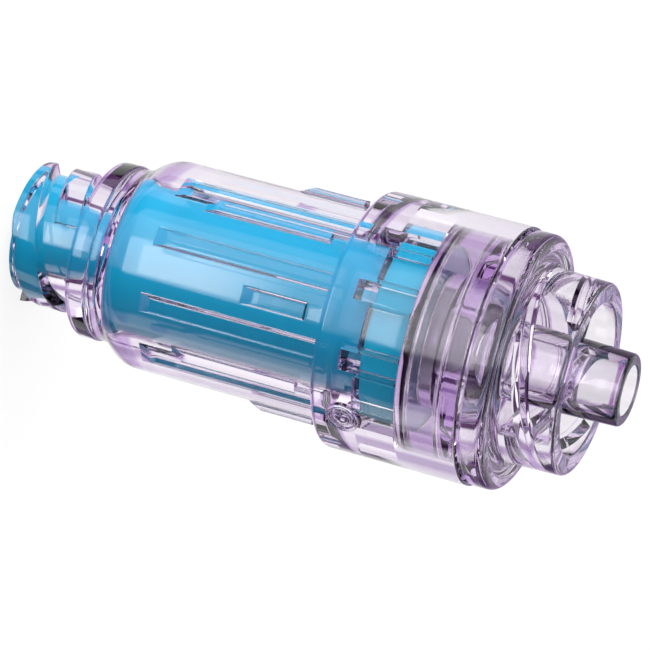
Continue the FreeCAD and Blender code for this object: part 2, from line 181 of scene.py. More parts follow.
# The base's seat for the regulator, the hollow of its spigot, and its collar's thread
SEAT_RADIUS = 2.75
SEAT_BORE = 1.75
SPIGOT_CORE = 3.65
SPIGOT_WALL = 1.1
SPIGOT_ROOF = LUER_FLOOR - 1.06
SEAM = 0.16
SEAM_DEPTH = 0.2
THREAD_START = 28.6
THREAD_RISE = 3.2
THREAD_DEPTH = 0.5
THREAD_HALF_ROOT = 0.47
THREAD_HALF_CREST = 0.17

POLYCARBONATE_IOR = 1.585
TINT_DENSITY = 50.0

# The camera of the photograph, in the frame of the part. The parts of a direction are
# along the axis, towards the camera and up in the picture.
CAMERA_ANGLE = math.radians(-94)
CAMERA_DISTANCE = 204.15 * MM
CAMERA_HEIGHT = 84.15 * MM
CAMERA_LENS = 221.54
CAMERA_RIGHT = (0.91757, -0.3006, 0.2603)
CAMERA_FORWARD = (-0.31026, -0.9507, -0.0039)
TOWARDS_CAMERA = Vector((math.cos(CAMERA_ANGLE), math.sin(CAMERA_ANGLE), 0))
PICTURE_UP = Vector((math.sin(CAMERA_ANGLE), -math.cos(CAMERA_ANGLE), 0))
AXIS = Vector((0, 0, 1))

# The floor's size in metres and how much of what the camera sees of it is its glow
FLOOR_SIZE = 3.0
FLOOR_GLOW = 0.85
# The soft lamp: its place in metres, its size and its power
LAMP_PLACE = PICTURE_UP * 0.3 + TOWARDS_CAMERA * 0.3 + AXIS * 0.6
LAMP_SIZE = 0.5
LAMP_POWER = 0.6

# What a glossy or clear surface sees round the axis: degrees from the camera's side
# towards the picture's top, the colour there and its strength
BLACK = (0, 0, 0)
WHITE = (1.0, 1.0, 1.0)
LILAC = (0.8, 0.62, 0.95)
VIOLET = (0.85, 0.38, 1.0)
STUDIO_PANELS = [
    (-180, WHITE, 0.95),
    (-160, WHITE, 0.95),
    (-148, LILAC, 0.6),
    (-138, LILAC, 0.6),
    (-130, WHITE, 1.0),
    (-114, WHITE, 1.0),
    (-110, VIOLET, 0.12),
    (-96, VIOLET, 0.12),
    (-92, WHITE, 1.4),
    (-77, WHITE, 1.4),
    (-73, VIOLET, 0.16),
    (-20, VIOLET, 0.1),
    (-16, WHITE, 1.2),
    (54, WHITE, 1.2),
    (58, VIOLET, 0.18),
    (84, VIOLET, 0.18),
    (88, WHITE, 1.1),
    (99, WHITE, 1.1),
    (102, VIOLET, 0.2),
    (110, VIOLET, 0.2),
    (114, WHITE, 0.95),
    (180, WHITE, 0.95),
]
BRIGHTEST = 1.5
# A bright strip light: its two edges in degrees, its two ends as heights in the sphere
# round the part, its strength and how soft its ends are
STRIP_EDGES = (-16, 20)
STRIP_ENDS = (-0.6, -0.34)
STRIP_LEVEL = 3.0
STRIP_SOFT = 0.01
# How often light is followed through the clear walls
LIGHT_BOUNCES = 32
# Strength of the soft light at the picture's bottom and at its top, and how far towards
# the bottom it starts to grow
SOFT_LIGHT = (0.0, 3.9)
SOFT_LIGHT_START = -0.8
# What is left of the panels along the axis, from the rim's end to the male tip's end
END_PANELS = [
    (0.0, VIOLET, 0.5),
    (0.14, VIOLET, 0.5),
    (0.22, WHITE, 1.0),
    (0.35, WHITE, 1.0),
    (0.41, LILAC, 0.85),
    (0.6, LILAC, 0.85),
    (0.7, WHITE, 1.0),
    (1.0, WHITE, 1.0),
]


def length_property(name, description, millimetres):
    return bpy.props.FloatProperty(
        name=name, description=description, default=millimetres * MM, unit="LENGTH", precision=5)


def colour_property(name, description, colour):
    return bpy.props.FloatVectorProperty(
        name=name, description=description, subtype="COLOR", size=3, min=0, max=1, default=colour)


class ConnectorSizes(bpy.types.PropertyGroup):
    neck_radius: length_property("Neck Radius", "Outside radius of the female luer neck", 3.35)
    lug_radius: length_property("Lug Radius", "Radius over the lock lugs", 3.915)
    mouth_radius: length_property(
        "Mouth Radius", "Radius of the female luer bore at the rim", 2.15)
    neck_ring_radius: length_property("Neck Ring Radius", "Radius of the ring above the neck", 4.93)
    barrel_radius: length_property("Barrel Radius", "Outside radius of the barrel", 5.815)
    barrel_bore: length_property("Barrel Bore", "Radius of the bore that holds the seal", 4.3)
    skirt_radius: length_property("Skirt Radius", "Outside radius of the skirt", 7.08)
    skirt_bore: length_property("Skirt Bore", "Radius of the bore that holds the base", 6.18)
    rib_radius: length_property("Rib Radius", "Radius over the ribs of the barrel", 6.2)
    rib_width: length_property("Rib Width", "Width of a rib", 1.0)
    base_ring_radius: length_property(
        "Base Ring Radius", "Radius of the wide ring of the base", 6.98)
    collar_radius: length_property("Collar Radius", "Outside radius of the lock collar", 5.25)
    collar_bore: length_property("Collar Bore", "Inside radius of the lock collar", 4.05)
    tip_radius: length_property("Tip Radius", "Radius of the male luer at its end", 1.985)
    lumen_radius: length_property(
        "Lumen Radius", "Radius of the passage through the male luer", 1.374)


class ConnectorColours(bpy.types.PropertyGroup):
    clear_tint: colour_property(
        "Clear Tint", "Colour left in light after a long way through the clear plastic",
        (0.84, 0.56, 0.96))
    seal_colour: colour_property("Seal Colour", "Colour of the soft seal", (0.0, 0.55, 0.86))
    valve_colour: colour_property(
        "Valve Colour", "Colour of the flow regulator", (0.86, 0.88, 0.92))


def in_mm(length):
    return length / MM


def unit_towards(start, end):
    across, up = end[0] - start[0], end[1] - start[1]
    reach = math.hypot(across, up)
    return across / reach, up / reach


def corner_directions(before, corner, after):
    """Unit vectors from a corner along its two sides, and half the angle between them."""
    into = unit_towards(corner, before)
    out = unit_towards(corner, after)
    half = math.acos(max(-1.0, min(1.0, into[0] * out[0] + into[1] * out[1]))) / 2
    return into, out, half


def rounded_corner(before, corner, after, radius, steps):
    """Points of the arc that rounds one corner of an outline."""
    into, out, half = corner_directions(before, corner, after)
    back = radius / math.tan(half)
    middle = unit_towards((0, 0), (into[0] + out[0], into[1] + out[1]))
    centre = (
        corner[0] + middle[0] * radius / math.sin(half),
        corner[1] + middle[1] * radius / math.sin(half),
    )
    first = (corner[0] + into[0] * back - centre[0], corner[1] + into[1] * back - centre[1])
    last = (corner[0] + out[0] * back - centre[0], corner[1] + out[1] * back - centre[1])
    begin = math.atan2(first[1], first[0])
    sweep = math.remainder(math.atan2(last[1], last[0]) - begin, FULL_TURN)
    return [
        (centre[0] + radius * math.cos(begin + sweep * step / steps),
         centre[1] + radius * math.sin(begin + sweep * step / steps))
        for step in range(steps + 1)
    ]


def blended(before, corner, after, reach):
    """A corner with the rounding that starts at a given distance from it."""
    half = corner_directions(before, corner, after)[2]
    return corner[0], corner[1], reach * math.tan(half)


def outline_points(corners, closed=True, steps=ARC_STEPS):
    """Corners are (across, up) or (across, up, rounding radius)."""
    points = []
    count = len(corners)
    for index, corner in enumerate(corners):
        inner = closed or 0 < index < count - 1
        if len(corner) == 3 and inner:
            after = corners[(index + 1) % count]
            points += rounded_corner(corners[index - 1], corner, after, corner[2], steps)
        else:
            points.append(corner[:2])
    return points


def wire(bm, points, closed, angle=0.0):
    """A chain of edges in the upright plane at an angle round the axis."""
    across = Vector((math.cos(angle), math.sin(angle), 0))
    verts = [bm.verts.new(across * reach + AXIS * up) for reach, up in points]
    ends = verts[1:] + verts[:1] if closed else verts[1:]
    edges = [bm.edges.new(pair) for pair in zip(verts, ends)]
    return verts + edges


def spun(corners, closed=True, turns=TURN_STEPS, steps=ARC_STEPS):
    """An outline turned about the axis."""
    bm = bmesh.new()
    geom = wire(bm, outline_points(corners, closed, steps), closed)
    bmesh.ops.spin(
        bm, geom=geom, cent=(0, 0, 0), axis=(0, 0, 1), angle=FULL_TURN, steps=turns,
        use_merge=True)
    tidy(bm)
    return bm


def swept(corners, start_angle, turn, rise=0.0):
    """A closed section swept round and up the axis, with its ends closed."""
    bm = bmesh.new()
    geom = wire(bm, outline_points(corners), True, start_angle)
    count = max(2, round(TURN_STEPS * turn / FULL_TURN))
    bmesh.ops.spin(
        bm, geom=geom, cent=(0, 0, 0), axis=(0, 0, 1), dvec=(0, 0, rise / count), angle=turn,
        steps=count)
    bmesh.ops.holes_fill(bm, edges=[edge for edge in bm.edges if edge.is_boundary], sides=0)
    tidy(bm)
    return bm


def helix(corners, start_angle, rise):
    """One start of a thread."""
    return swept(corners, start_angle, FULL_TURN * rise / THREAD_LEAD, rise)


def sector(inner, outer, bottom, top, sweep, soft):
    """A ring sector with a rounded lower outer corner in its section."""
    corners = [(inner, bottom), (outer, bottom, soft), (outer, top), (inner, top)]
    return swept(corners, -math.radians(sweep) / 2, math.radians(sweep))


def block(size, level=0.0):
    """A closed box centred on the axis at a level."""
    bm = bmesh.new()
    bmesh.ops.create_cube(bm, size=1.0)
    bmesh.ops.scale(bm, vec=size, verts=bm.verts)
    bmesh.ops.translate(bm, verts=bm.verts, vec=(0, 0, level))
    return bm


def tidy(bm):
    bmesh.ops.remove_doubles(bm, verts=bm.verts, dist=MERGE_LIMIT)
    bmesh.ops.recalc_face_normals(bm, faces=bm.faces)


def turned(bm, degrees):
    turn = Matrix.Rotation(math.radians(degrees), 3, "Z")
    bmesh.ops.rotate(bm, verts=bm.verts, cent=(0, 0, 0), matrix=turn)
    return bm


def joined(parts):
    """Several closed meshes as one bmesh."""
    whole = bmesh.new()
    for part in parts:
        mesh = bpy.data.meshes.new("part")
        part.to_mesh(mesh)
        part.free()
        whole.from_mesh(mesh)
        bpy.data.meshes.remove(mesh)
    return whole


def working_object(name, bm):
    mesh = bpy.data.meshes.new(name)
    bm.to_mesh(mesh)
    bm.free()
    item = bpy.data.objects.new(name, mesh)
    bpy.context.scene.collection.objects.link(item)
    return item


def carved(body, tool, operation):
    """The union or difference of two closed meshes."""
    base = working_object("carve_base", body)
    cutter = working_object("carve_tool", tool)
    modifier = base.modifiers.new("carve", "BOOLEAN")
    modifier.object = cutter
    modifier.operation = operation
    modifier.solver = "EXACT"
    modifier.use_self = False
    shaped = base.evaluated_get(bpy.context.evaluated_depsgraph_get())
    result = bmesh.new()
    result.from_mesh(shaped.to_mesh())
    shaped.to_mesh_clear()
    for item in (base, cutter):
        mesh = item.data
        bpy.data.objects.remove(item)
        bpy.data.meshes.remove(mesh)
    bmesh.ops.remove_doubles(result, verts=result.verts, dist=MERGE_LIMIT)
    bmesh.ops.dissolve_degenerate(result, dist=MERGE_LIMIT, edges=result.edges)
    return result


def piece(name, bm, material, body, node):
    """A finished piece in metres, smooth apart from its sharp edges."""
    bmesh.ops.scale(bm, vec=(MM, MM, MM), verts=bm.verts)
    for face in bm.faces:
        face.smooth = True
    for edge in bm.edges:
        edge.smooth = len(edge.link_faces) == 2 and edge.calc_face_angle(0) < SHARP_ANGLE
    item = working_object(name, bm)
    shading = item.modifiers.new("even_shading", "WEIGHTED_NORMAL")
    shading.keep_sharp = True
    item.data.materials.append(material)
    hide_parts(node)
    if body:
        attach(item, body)
    return item


def rib_section(edges, radius, barrel, soft):
    """A rib's section across the axis: a crest on the rib radius, blended edges and roots."""
    low, high = edges
    foot = math.sqrt((barrel - RIB_FOOT_DEPTH) ** 2 - max(abs(low), abs(high)) ** 2)

    def on_circle(across, reach):
        return across, math.sqrt(reach * reach - across * across)

    rise = [
        (low - RIB_FLARE, foot),
        on_circle(low - RIB_FLARE, barrel - RIB_SINK),
        on_circle(low, barrel - RIB_SINK),
        on_circle(low + RIB_DRAFT, radius),
    ]
    crest = [
        on_circle(low + RIB_DRAFT + (high - low - 2 * RIB_DRAFT) * step / RIB_CREST_STEPS, radius)
        for step in range(1, RIB_CREST_STEPS)
    ]
    fall = [
        on_circle(high - RIB_DRAFT, radius),
        on_circle(high, barrel - RIB_SINK),
        on_circle(high + RIB_FLARE, barrel - RIB_SINK),
        (high + RIB_FLARE, foot),
    ]
    corners = rise + crest + fall
    last = len(corners) - 1
    for index, reach in ((2, RIB_ROOT), (last - 2, RIB_ROOT), (3, soft), (last - 3, soft)):
        corners[index] = blended(corners[index - 1], corners[index], corners[index + 1], reach)
    return outline_points(corners)


def slab_rib(edges, bottom, top, radius, barrel, soft=RIB_EDGE):
    """A rib with sides parallel to Y, a crest round the axis and a sloping lower end."""
    bm = bmesh.new()
    outline = rib_section(edges, radius, barrel, soft)
    face = bm.faces.new([bm.verts.new((across, out, bottom)) for across, out in outline])
    grown = bmesh.ops.extrude_face_region(bm, geom=[face])
    raised = [item for item in grown["geom"] if isinstance(item, bmesh.types.BMVert)]
    bmesh.ops.translate(bm, verts=raised, vec=(0, 0, top - bottom))
    middle = (edges[0] + edges[1]) / 2
    outward = Vector((middle, math.sqrt(barrel * barrel - middle * middle), 0)).normalized()
    height = radius - barrel
    start_share, height_share = RAMP_BREAK
    for start, reach, length in (
            (0.0, 0.0, RIB_RAMP),
            (start_share * RIB_RAMP, height_share * height, RIB_RAMP * RAMP_BREAK_LENGTH)):
        slope = (outward * length - AXIS * height).normalized()
        cut = bmesh.ops.bisect_plane(
            bm, geom=list(bm.verts) + list(bm.edges) + list(bm.faces), dist=MERGE_LIMIT,
            plane_co=outward * (barrel + reach) + AXIS * (bottom + start), plane_no=slope,
            clear_outer=True)
        ramp_edges = [item for item in cut["geom_cut"] if isinstance(item, bmesh.types.BMEdge)]
        bmesh.ops.holes_fill(bm, edges=ramp_edges, sides=0)
    for level in (bottom + RIB_RAMP * RIB_LOOP_LOW, top - RIB_LOOP_HIGH):
        bmesh.ops.bisect_plane(
            bm, geom=list(bm.verts) + list(bm.edges) + list(bm.faces), dist=MERGE_LIMIT,
            plane_co=AXIS * level, plane_no=AXIS)
    bmesh.ops.recalc_face_normals(bm, faces=bm.faces)
    return bm


def bell_arcs(waist, barrel):
    """The two arcs of the shoulder: corner levels and the arc radius."""
    height = BELL_TOP - BELL_BOTTOM
    flare = barrel - waist
    tangent = (height * height + flare * flare) / (4 * height)
    radius = (height * height + flare * flare) / (4 * flare) * BELL_FIT
    return BELL_BOTTOM + tangent, BELL_TOP - tangent, radius


def housing_shell(sizes):
    """The turned body of the housing, with its luer bore and the bores behind it."""
    neck = in_mm(sizes.neck_radius)
    ring = in_mm(sizes.neck_ring_radius)
    barrel = in_mm(sizes.barrel_radius)
    skirt = in_mm(sizes.skirt_radius)
    mouth = in_mm(sizes.mouth_radius)
    bore = in_mm(sizes.barrel_bore)
    skirt_bore = in_mm(sizes.skirt_bore)
    pocket_core = skirt_bore - POCKET_INSET
    foot, shoulder, bell = bell_arcs(WAIST_RADIUS, barrel)
    return spun([
        (mouth + 0.15, RIM_TRIM),
        (neck, RIM_TRIM),
        (neck, NECK_RING_BOTTOM, 0.12),
        (ring, NECK_RING_BOTTOM, 0.3),
        (ring, NECK_RING_TOP, 0.18),
        (WAIST_RADIUS, NECK_RING_TOP, 0.05),
        (WAIST_RADIUS, foot, bell),
        (barrel, shoulder, bell),
        (barrel, SKIRT_BOTTOM, 0.3),
        (skirt, SKIRT_BOTTOM, 0.4),
        (skirt, SKIRT_TOP, 0.08),
        (skirt_bore, SKIRT_TOP, 0.08),
        (skirt_bore, POCKET_TOP),
        (pocket_core, POCKET_TOP),
        (pocket_core, WIDE_POCKET_BOTTOM),
        (bore, WIDE_POCKET_BOTTOM, 0.1),
        (bore, BORE_CONE_TOP, 0.4),
        (mouth - LUER_TAPER * BORE_CONE_BOTTOM, BORE_CONE_BOTTOM, 0.4),
        (mouth - LUER_TAPER * 0.12, 0.12),
        (mouth + 0.15, 0.0),
    ])


def housing_additions(sizes):
    """Lugs and ribs, all closed and sunk into the shell."""
    neck = in_mm(sizes.neck_radius)
    lug = in_mm(sizes.lug_radius)
    lug_angle = math.radians(LUG_ANGLE + (LUG_START - LUG_ANGLE_LEVEL) * 360 / THREAD_LEAD)
    lug_corners = [
        (neck - LUG_SINK, LUG_START - LUG_HALF_ROOT),
        (neck, LUG_START - LUG_HALF_ROOT),
        (lug, LUG_START - LUG_HALF_CREST, LUG_SOFT),
        (lug, LUG_START + LUG_HALF_CREST, LUG_SOFT),
        (neck, LUG_START + LUG_HALF_ROOT),
        (neck - LUG_SINK, LUG_START + LUG_HALF_ROOT),
    ]
    parts = [
        helix(lug_corners, lug_angle + start, LUG_END - LUG_START) for start in (0, math.pi)]
    barrel = in_mm(sizes.barrel_radius)
    radius = in_mm(sizes.rib_radius)
    half = in_mm(sizes.rib_width) / 2
    for angle in (NEAR_RIB_ANGLE, FAR_RIB_ANGLE):
        middle = radius * math.sin(math.radians(angle))
        for sign in (-1, 1):
            edges = (middle * sign - half, middle * sign + half)
            for side in (0, 180):
                rib = slab_rib(edges, RIB_BOTTOM, SKIRT_BOTTOM + 0.3, radius, barrel)
                parts.append(turned(rib, side))
    for angle in (0, 90, 180, 270):
        rib = slab_rib((-half, half), SHORT_RIB_BOTTOM, SHORT_RIB_TOP, radius, barrel)
        parts.append(turned(rib, angle))
    return joined(parts)


def side_pads(sizes):
    """The pads that widen the far ribs on their inner sides."""
    barrel = in_mm(sizes.barrel_radius)
    radius = in_mm(sizes.rib_radius) + SIDE_PAD_RISE
    inner, outer = SIDE_PAD_EDGES
    return joined([
        turned(slab_rib(edges, SIDE_PAD_BOTTOM, SHORT_RIB_TOP, radius, barrel, SIDE_PAD_SOFT), side)
        for edges in ((inner, outer), (-outer, -inner))
        for side in (0, 180)
    ])


def boss(sizes):
    """A round boss on the skirt with a raised rim and middle."""
    skirt = in_mm(sizes.skirt_radius)
    bm = spun([
        (0, -BOSS_SINK),
        (0.95, -BOSS_SINK),
        (0.95, BOSS_HEIGHT, 0.06),
        (0.72, BOSS_HEIGHT, 0.04),
        (0.72, BOSS_GROOVE, 0.03),
        (0.5, BOSS_GROOVE, 0.03),
        (0.5, BOSS_HEIGHT, 0.04),
        (0.3, BOSS_HEIGHT, 0.04),
        (0.3, BOSS_GROOVE),
        (0, BOSS_GROOVE),
    ], closed=False, turns=48, steps=3)
    lean = Matrix.Rotation(math.radians(90), 3, "Y")
    bmesh.ops.rotate(bm, verts=bm.verts, cent=(0, 0, 0), matrix=lean)
    bmesh.ops.translate(bm, verts=bm.verts, vec=(skirt, 0, BOSS_LEVEL))
    return turned(bm, BOSS_ANGLE)


def housing_cuts(sizes):
    """The pockets round the seal flange and what hangs below the rim."""
    bore = in_mm(sizes.barrel_bore)
    wall = in_mm(sizes.skirt_bore)
    flange = wall - POCKET_INSET
    ring = in_mm(sizes.neck_ring_radius)
    cuts = [spun([(1.0, RIM_TRIM - 1.0), (ring, RIM_TRIM - 1.0), (ring, 0.0), (1.0, 0.0)])]
    middle = (NEAR_RIB_ANGLE + FAR_RIB_ANGLE) / 2
    ribs = (-FAR_RIB_ANGLE, -NEAR_RIB_ANGLE, NEAR_RIB_ANGLE, FAR_RIB_ANGLE)
    pockets = [(angle, bore + 0.45, NARROW_POCKET_BOTTOM, 10.0) for angle in ribs]
    for angle, sweep in ((0, 20.0), (90, 30.0), (-middle, 17.0), (middle, 17.0)):
        pockets.append((angle, flange - 0.02, WIDE_POCKET_BOTTOM + 0.01, sweep))
    for side in (90, 270):
        for angle, inner, bottom, sweep in pockets:
            pocket = sector(inner, wall, bottom, POCKET_TOP + 0.02, sweep, 0.1)
            cuts.append(turned(pocket, side + angle))
    return joined(cuts)


def seal_mesh(sizes):
    """The soft seal. A bead at the rim of its head presses lightly on the clear bore."""
    mouth = in_mm(sizes.mouth_radius)
    bore = in_mm(sizes.barrel_bore)
    neck_end = mouth - LUER_TAPER * BORE_CONE_BOTTOM
    body = bore - 0.22
    flange = in_mm(sizes.skirt_bore) - 0.6
    core = body - 1.1
    bm = spun([
        (0, SEAL_FACE),
        (mouth + SEAL_PRESS, SEAL_FACE, 0.2),
        (mouth - LUER_TAPER * 1.5 + SEAL_PRESS, 1.5, 0.1),
        (mouth - LUER_TAPER * 1.8 - SEAL_CLEAR, 1.8, 0.2),
        (neck_end - SEAL_CLEAR, BORE_CONE_BOTTOM + 0.1, 0.4),
        (body, BORE_CONE_TOP + 0.1, 0.9),
        (body, WIDE_POCKET_BOTTOM + 0.05, 0.3),
        (flange, WIDE_POCKET_BOTTOM + 0.05, 0.25),
        (flange, POCKET_TOP - 0.05, 0.1),
        (core, POCKET_TOP - 0.05, 0.2),
        (core, BORE_CONE_TOP + 1.3, 0.3),
        (SEAL_HOLLOW, BORE_CONE_TOP + 0.1, 0.3),
        (SEAL_HOLLOW, SEAL_ROOF, 0.2),
        (0, SEAL_ROOF),
    ], closed=False)
    return carved(bm, block((2.4, SLIT_WIDTH, 1.0)), "DIFFERENCE")


def spike_mesh(sizes):
    """The disc with its hollow spike, slotted near the tip, and the spout behind it."""
    disc = in_mm(sizes.skirt_bore) - 0.05
    bm = spun([
        (0, SPIKE_TIP),
        (0.35, SPIKE_TIP, 0.1),
        (SPIKE_RADIUS, SPIKE_TIP + SPIKE_CONE, 0.4),
        (SPIKE_RADIUS, POCKET_TOP, 0.2),
        (disc, POCKET_TOP, 0.1),
        (disc, DISC_TOP, 0.1),
        (SPOUT_RADIUS, DISC_TOP, 0.1),
        (SPOUT_RADIUS, DISC_TOP + SPOUT_HEIGHT, 0.08),
        (SPIKE_BORE, DISC_TOP + SPOUT_HEIGHT, 0.05),
        (SPIKE_BORE, SPIKE_TIP + 0.5, 0.1),
        (0, SPIKE_TIP + 0.5),
    ], closed=False, turns=FINE_TURN_STEPS)
    slots = block((3.0, 0.45, SPIKE_SLOT), SPIKE_TIP + SPIKE_CONE + SPIKE_SLOT / 2)
    return carved(bm, slots, "DIFFERENCE")


def regulator_mesh():
    """The flow regulator: a flange and a thin bulb with a slit in its end."""
    bottom = DISC_TOP + 0.01
    flange_top = DISC_TOP + 0.7
    top = DISC_TOP + REGULATOR_HEIGHT
    bm = spun([
        (0, top - 0.45),
        (0.6, top - 0.45, 0.2),
        (REGULATOR_BORE, top - 0.8, 0.2),
        (REGULATOR_BORE, bottom),
        (REGULATOR_FLANGE, bottom, 0.1),
        (REGULATOR_FLANGE, flange_top, 0.1),
        (REGULATOR_RADIUS, flange_top, 0.15),
        (REGULATOR_RADIUS, top - 0.5, 0.3),
        (0.7, top, 0.25),
        (0, top),
    ], closed=False, turns=FINE_TURN_STEPS)
    return carved(bm, block((SLIT_WIDTH, 1.4, 1.2), top), "DIFFERENCE")


def base_mesh(sizes):
    """The base: spigot, wide ring with a dished face, threaded collar and male luer."""
    spigot = in_mm(sizes.skirt_bore) - 0.05
    ring = in_mm(sizes.base_ring_radius)
    collar = in_mm(sizes.collar_radius)
    collar_bore = in_mm(sizes.collar_bore)
    tip = in_mm(sizes.tip_radius)
    lumen = in_mm(sizes.lumen_radius)
    tip_root = tip + LUER_TAPER * (TIP_TOP - LUER_FLOOR)
    bottom = DISC_TOP + 0.01
    seam_bottom = SKIRT_TOP + 0.01
    seam_top = SKIRT_TOP + SEAM
    bm = spun([
        (SEAT_RADIUS, bottom, 0.05),
        (SPIGOT_CORE, bottom, 0.1),
        (SPIGOT_CORE, SPIGOT_ROOF, 0.2),
        (spigot - SPIGOT_WALL, SPIGOT_ROOF, 0.2),
        (spigot - SPIGOT_WALL, bottom, 0.1),
        (spigot, bottom, 0.15),
        (spigot, seam_bottom),
        (ring - SEAM_DEPTH, seam_bottom),
        (ring - SEAM_DEPTH, seam_top),
        (ring, seam_top, 0.15),
        (ring, BASE_RING_TOP, 0.45),
        (ring - 0.78, BASE_RING_TOP, 0.25),
        (collar + 0.1, BASE_RING_TOP - 0.7, 0.5),
        (collar, COLLAR_TOP, 0.22),
        (collar_bore + 0.15, COLLAR_TOP, 0.15),
        (collar_bore, COLLAR_TOP - 0.5, 0.3),
        (collar_bore, LUER_FLOOR, 0.3),
        (tip_root, LUER_FLOOR, 0.2),
        (tip, TIP_TOP, 0.25),
        (lumen, TIP_TOP, 0.12),
        (lumen, DISC_TOP + 2.6),
        (SEAT_BORE, DISC_TOP + 2.1),
        (SEAT_BORE, DISC_TOP + 0.7),
        (SEAT_RADIUS, DISC_TOP + 0.7),
    ])
    ridge_corners = [
        (collar_bore - THREAD_DEPTH, THREAD_START - THREAD_HALF_CREST, 0.06),
        (collar_bore, THREAD_START - THREAD_HALF_ROOT),
        (collar_bore + 0.15, THREAD_START - THREAD_HALF_ROOT),
        (collar_bore + 0.15, THREAD_START + THREAD_HALF_ROOT),
        (collar_bore, THREAD_START + THREAD_HALF_ROOT),
        (collar_bore - THREAD_DEPTH, THREAD_START + THREAD_HALF_CREST, 0.06),
    ]
    ridges = [helix(ridge_corners, start, THREAD_RISE) for start in (0, math.pi)]
    return carved(bm, joined(ridges), "UNION")


def add_node(tree, kind, inputs=None, **settings):
    """A new node with its settings, its input values and its links."""
    node = tree.nodes.new("ShaderNode" + kind)
    for name, value in settings.items():
        setattr(node, name, value)
    for name, value in (inputs or {}).items():
        if isinstance(value, bpy.types.NodeSocket):
            tree.links.new(value, node.inputs[name])
        else:
            node.inputs[name].default_value = value
    return node


def new_material(name, values):
    """A material with the given values of its main shader."""
    material = bpy.data.materials.new(name)
    material.use_nodes = True
    tree = material.node_tree
    shader = tree.nodes["Principled BSDF"]
    for key, value in values.items():
        shader.inputs[key].default_value = value
    return material, tree, shader


def noise_bump(tree, shader, scale, strength, distance):
    """A slight unevenness of the surface, in the piece's own place."""
    place = add_node(tree, "TexCoord").outputs["Object"]
    noise = add_node(tree, "TexNoise", {"Vector": place, "Scale": scale, "Detail": 2.0})
    bump = add_node(tree, "Bump", {
        "Height": noise.outputs["Fac"], "Strength": strength, "Distance": distance})
    tree.links.new(bump.outputs["Normal"], shader.inputs["Normal"])


def clear_plastic(name, colours):
    """Polished clear polycarbonate with a violet cast that deepens with thickness."""
    material, tree, shader = new_material(name, {
        "Base Color": (0.98, 0.975, 0.985, 1),
        "Roughness": 0.0,
        "IOR": POLYCARBONATE_IOR,
        "Transmission Weight": 1.0,
    })
    tint = add_node(tree, "VolumeAbsorption", {
        "Color": (*colours.clear_tint, 1), "Density": TINT_DENSITY})
    tree.links.new(tint.outputs["Volume"], tree.nodes["Material Output"].inputs["Volume"])
    noise_bump(tree, shader, 180.0, 0.05, 0.00002)
    return material


def blue_silicone(colours):
    material, tree, shader = new_material("satin_blue_silicone", {
        "Base Color": (*colours.seal_colour, 1),
        "Roughness": 0.3,
        "IOR": 1.42,
        "Specular IOR Level": 0.25,
    })
    noise_bump(tree, shader, 2500.0, 0.08, 0.00001)
    return material


def clear_silicone(colours):
    material, tree, shader = new_material("milky_soft_silicone", {
        "Base Color": (*colours.valve_colour, 1),
        "Roughness": 0.25,
        "IOR": 1.41,
        "Transmission Weight": 0.7,
    })
    noise_bump(tree, shader, 900.0, 0.08, 0.00001)
    return material


class CONNECTOR_OT_housing(bpy.types.Operator):
    """Model the clear ribbed housing"""

    bl_idname = "connector.housing"
    bl_label = "Housing"

    def execute(self, context):
        sizes = context.scene.connector_sizes
        colours = context.scene.connector_colours
        shell = carved(housing_shell(sizes), housing_additions(sizes), "UNION")
        shell = carved(shell, side_pads(sizes), "UNION")
        shell = carved(shell, boss(sizes), "UNION")
        shell = carved(shell, housing_cuts(sizes), "DIFFERENCE")
        material = clear_plastic(SHELL_MATERIAL, colours)
        piece("housing_shell", shell, material, "connector_body", "housing")
        return {"FINISHED"}


class CONNECTOR_OT_seal(bpy.types.Operator):
    """Model the blue seal, which is pressed in at its head"""

    bl_idname = "connector.seal"
    bl_label = "Seal"

    def execute(self, context):
        sizes = context.scene.connector_sizes
        material = blue_silicone(context.scene.connector_colours)
        item = piece("blue_seal", seal_mesh(sizes), material, None, "seal")
        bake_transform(item)
        return {"FINISHED"}


class CONNECTOR_OT_inner_pieces(bpy.types.Operator):
    """Model the hollow spike on its disc and the flow regulator"""

    bl_idname = "connector.inner_pieces"
    bl_label = "Spike and Regulator"

    def execute(self, context):
        sizes = context.scene.connector_sizes
        colours = context.scene.connector_colours
        inner = clear_plastic("polished_clear_insert", colours)
        piece(
            "hollow_spike", spike_mesh(sizes), inner, "connector_body",
            "spike_support")
        soft = clear_silicone(colours)
        piece(
            "soft_regulator", regulator_mesh(), soft, "connector_body",
            "flow_regulator")
        return {"FINISHED"}


class CONNECTOR_OT_base(bpy.types.Operator):
    """Model the male luer base with its lock collar"""

    bl_idname = "connector.base"
    bl_label = "Male Luer Base"

    def execute(self, context):
        sizes = context.scene.connector_sizes
        material = bpy.data.materials[SHELL_MATERIAL]
        piece(
            "male_luer_base", base_mesh(sizes), material, "connector_body",
            "luer_base")
        return {"FINISHED"}


def camera_direction(parts):
    along, towards, up = parts
    return AXIS * along + TOWARDS_CAMERA * towards + PICTURE_UP * up


def add_camera(context):
    data = bpy.data.cameras.new("camera")
    data.sensor_width = 36
    data.lens = CAMERA_LENS
    data.clip_start = 0.01
    data.clip_end = 10
    camera = bpy.data.objects.new("camera", data)
    right = camera_direction(CAMERA_RIGHT)
    forward = camera_direction(CAMERA_FORWARD)
    forward.normalize()
    right = (right - forward * right.dot(forward)).normalized()
    upward = right.cross(forward)
    turn = Matrix((right, upward, -forward)).transposed().to_4x4()
    place = TOWARDS_CAMERA * CAMERA_DISTANCE + AXIS * CAMERA_HEIGHT
    camera.matrix_world = Matrix.Translation(place) @ turn
    context.scene.collection.objects.link(camera)
    context.scene.camera = camera


